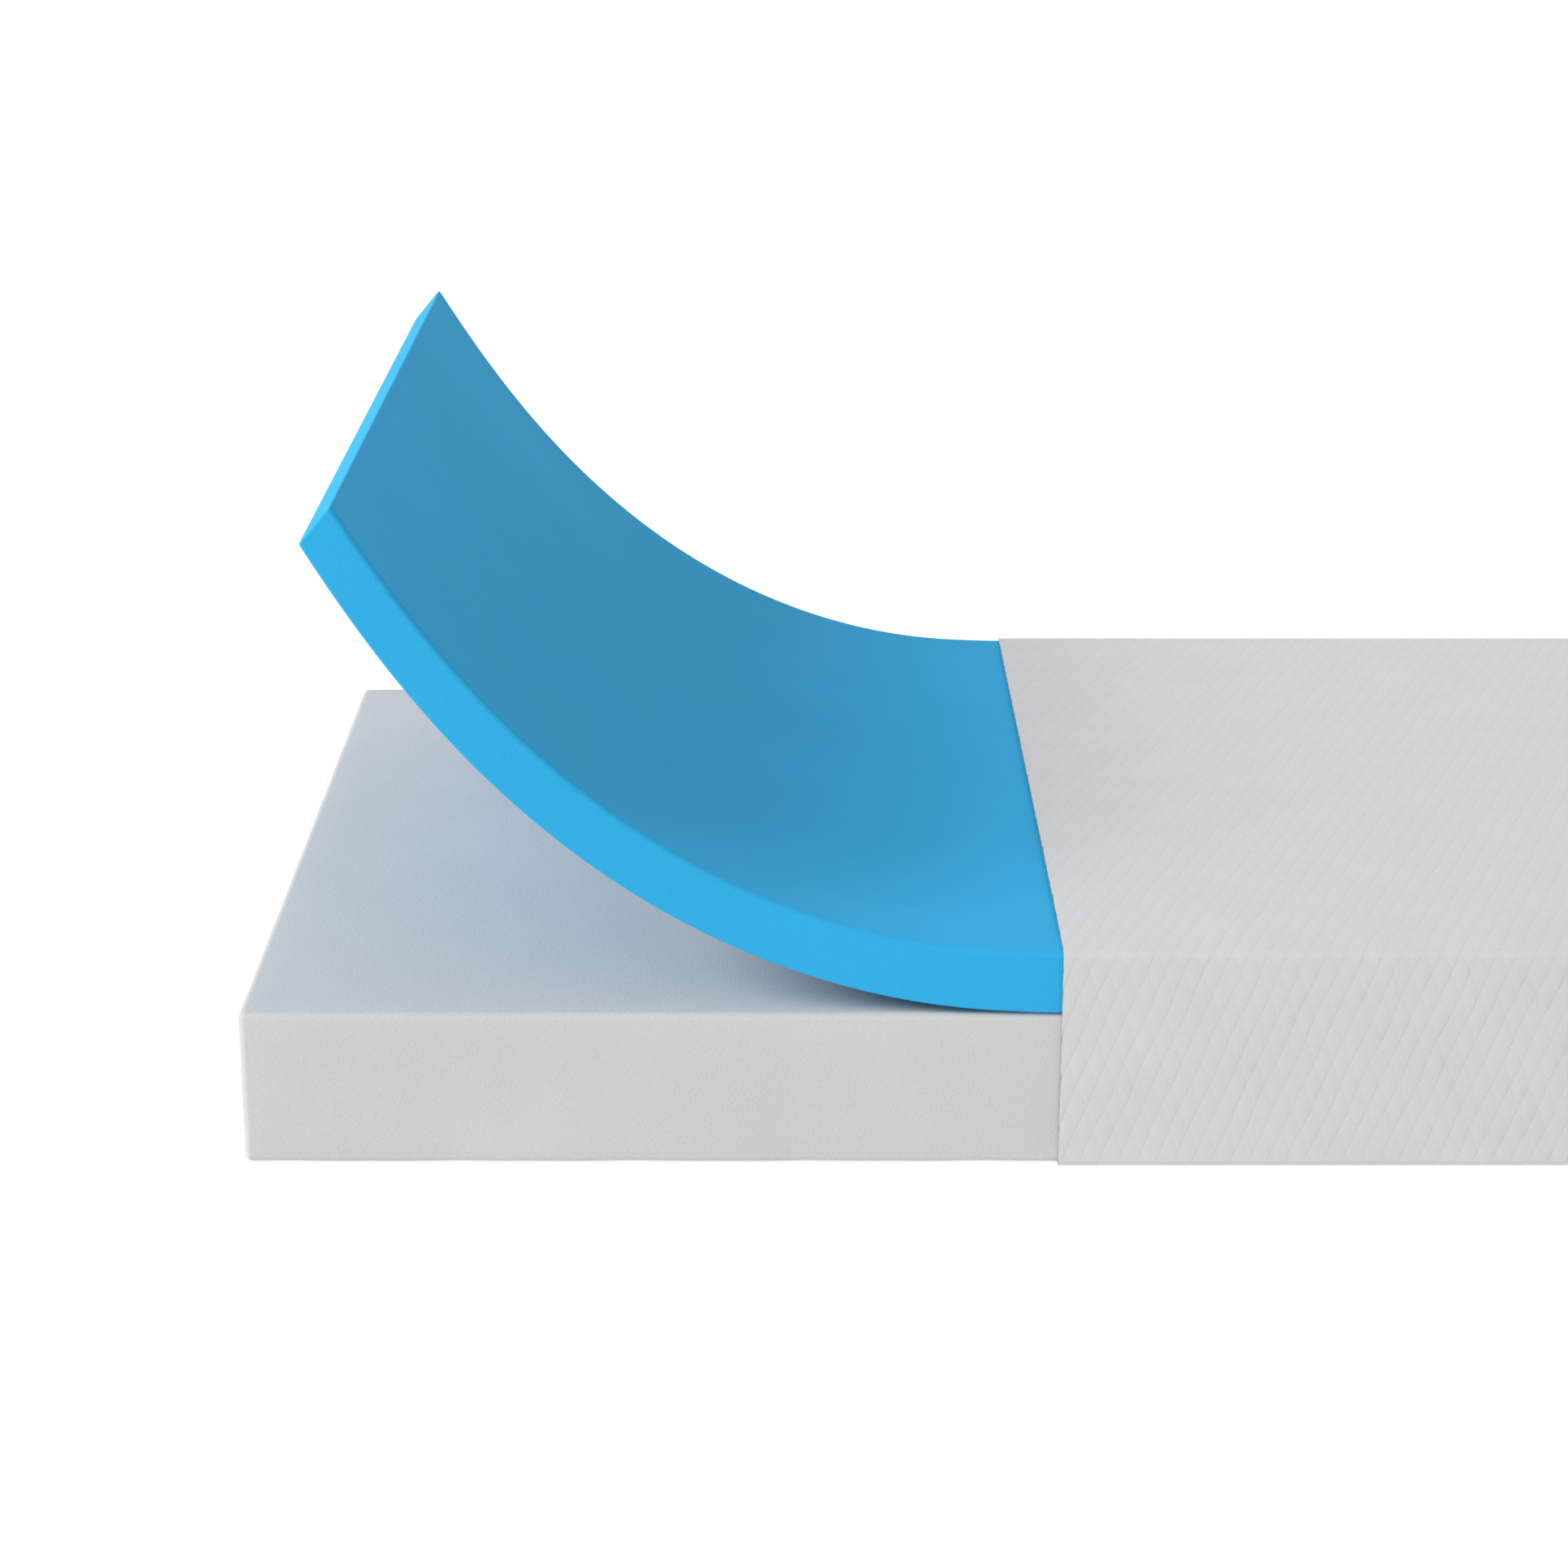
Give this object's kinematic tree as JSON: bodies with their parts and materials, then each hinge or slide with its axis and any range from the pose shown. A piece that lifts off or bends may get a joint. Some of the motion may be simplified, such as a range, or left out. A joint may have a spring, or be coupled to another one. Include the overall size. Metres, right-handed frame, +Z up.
{
  "type": "memory foam mattress",
  "caption": "Rectangular layered foam mattress in a knitted cover, opened at its head end to show a support core with a gel memory foam layer that peels up and lays flat again.",
  "frame": {"origin": "centre of the mattress's footprint, on the surface it lies on", "axes": "+X from the bare head end towards the foot end with the zip, +Y from the front long side to the back, +Z up"},
  "size_m": [1.9098, 0.965, 0.5799],
  "materials": {
    "support_foam": "pale grey open-cell polyurethane foam",
    "gel_memory_foam": "blue gel memory foam, fine matte cells",
    "adhesive": "dried spray adhesive",
    "barrier_knit": "thin plain rib knit",
    "cover_knit": "white jacquard knit with a raised diamond pattern",
    "underside_fabric": "grey woven fabric with small grip dots",
    "seam_thread": "overlocked polyester thread",
    "zip_tape": "woven polyester tape",
    "zip_coil": "moulded nylon coil",
    "zip_metal": "white-painted die-cast metal",
    "label_satin": "blank white satin"
  },
  "bodies": {
    "core": {"support_core": "support_foam", "comfort_layer_root": "gel_memory_foam", "adhesive_bond": "adhesive", "fire_barrier_sock": "barrier_knit"},
    "cover": {"cover_sleeve": "cover_knit", "cover_bottom_panel": "underside_fabric", "foot_panel_upper": "cover_knit", "foot_panel_lower": "cover_knit", "seam_foot_end": "seam_thread", "seam_bottom_foot": "seam_thread", "seam_bottom_front": "seam_thread", "seam_bottom_back": "seam_thread", "zip_tape_upper": "zip_tape", "zip_tape_lower": "zip_tape", "zip_coil_upper": "zip_coil", "zip_coil_lower": "zip_coil", "zip_closed_end_stop": "zip_metal", "zip_open_end_stop": "zip_metal", "zip_garage": "cover_knit", "care_label": "label_satin"},
    "zip_slider": {"zip_slider": "zip_metal"},
    "zip_pull": {"zip_pull": "zip_metal"},
    "peel_01": {"comfort_layer_01": "gel_memory_foam"},
    "peel_02": {"comfort_layer_02": "gel_memory_foam"},
    "peel_03": {"comfort_layer_03": "gel_memory_foam"},
    "peel_04": {"comfort_layer_04": "gel_memory_foam"},
    "peel_05": {"comfort_layer_05": "gel_memory_foam"},
    "peel_06": {"comfort_layer_06": "gel_memory_foam"},
    "peel_07": {"comfort_layer_07": "gel_memory_foam"},
    "peel_08": {"comfort_layer_08": "gel_memory_foam"},
    "peel_09": {"comfort_layer_09": "gel_memory_foam"},
    "peel_10": {"comfort_layer_10": "gel_memory_foam"}
  },
  "joints": [
    {"name": "peel_bend_01", "type": "hinge", "parent": "core", "child": "peel_01", "pos_m": [-0.2655, 0, 0.2354], "axis": [0, 1, 0], "range_deg": [-4.07, 2.05]},
    {"name": "peel_bend_02", "type": "hinge", "parent": "peel_01", "child": "peel_02", "pos_m": [-0.33403, 0, 0.24028], "axis": [0, 1, 0], "range_deg": [-7.91, 3.99]},
    {"name": "peel_bend_03", "type": "hinge", "parent": "peel_02", "child": "peel_03", "pos_m": [-0.40123, 0, 0.25453], "axis": [0, 1, 0], "range_deg": [-7.57, 3.81]},
    {"name": "peel_bend_04", "type": "hinge", "parent": "peel_03", "child": "peel_04", "pos_m": [-0.46598, 0, 0.2775], "axis": [0, 1, 0], "range_deg": [-7.19, 3.62]},
    {"name": "peel_bend_05", "type": "hinge", "parent": "peel_04", "child": "peel_05", "pos_m": [-0.52735, 0, 0.30838], "axis": [0, 1, 0], "range_deg": [-6.78, 3.42]},
    {"name": "peel_bend_06", "type": "hinge", "parent": "peel_05", "child": "peel_06", "pos_m": [-0.58465, 0, 0.34628], "axis": [0, 1, 0], "range_deg": [-6.33, 3.19]},
    {"name": "peel_bend_07", "type": "hinge", "parent": "peel_06", "child": "peel_07", "pos_m": [-0.63743, 0, 0.39025], "axis": [0, 1, 0], "range_deg": [-5.81, 2.93]},
    {"name": "peel_bend_08", "type": "hinge", "parent": "peel_07", "child": "peel_08", "pos_m": [-0.6855, 0, 0.43934], "axis": [0, 1, 0], "range_deg": [-5.21, 2.63]},
    {"name": "peel_bend_09", "type": "hinge", "parent": "peel_08", "child": "peel_09", "pos_m": [-0.72891, 0, 0.49258], "axis": [0, 1, 0], "range_deg": [-4.46, 2.25]},
    {"name": "peel_bend_10", "type": "hinge", "parent": "peel_09", "child": "peel_10", "pos_m": [-0.76807, 0, 0.54903], "axis": [0, 1, 0], "range_deg": [-3.4, 1.72]},
    {"name": "cover_pull_off", "type": "slide", "parent": "core", "child": "cover", "axis": [1, 0, 0], "range_m": [0, 1.25]},
    {"name": "zip_travel", "type": "slide", "parent": "cover", "child": "zip_slider", "axis": [0, 1, 0], "range_m": [0, 0.836]},
    {"name": "zip_pull_swing", "type": "hinge", "parent": "zip_slider", "child": "zip_pull", "pos_m": [0.9558, -0.418, 0.045], "axis": [0, 0, -1], "range_deg": [0, 165]}
  ],
  "couplings": [
    {"joint": "peel_bend_02", "follows": "peel_bend_01", "ratio": 1.9399},
    {"joint": "peel_bend_03", "follows": "peel_bend_01", "ratio": 1.8549},
    {"joint": "peel_bend_04", "follows": "peel_bend_01", "ratio": 1.7631},
    {"joint": "peel_bend_05", "follows": "peel_bend_01", "ratio": 1.6626},
    {"joint": "peel_bend_06", "follows": "peel_bend_01", "ratio": 1.5512},
    {"joint": "peel_bend_07", "follows": "peel_bend_01", "ratio": 1.4247},
    {"joint": "peel_bend_08", "follows": "peel_bend_01", "ratio": 1.2766},
    {"joint": "peel_bend_09", "follows": "peel_bend_01", "ratio": 1.0928},
    {"joint": "peel_bend_10", "follows": "peel_bend_01", "ratio": 0.83307}
  ]
}
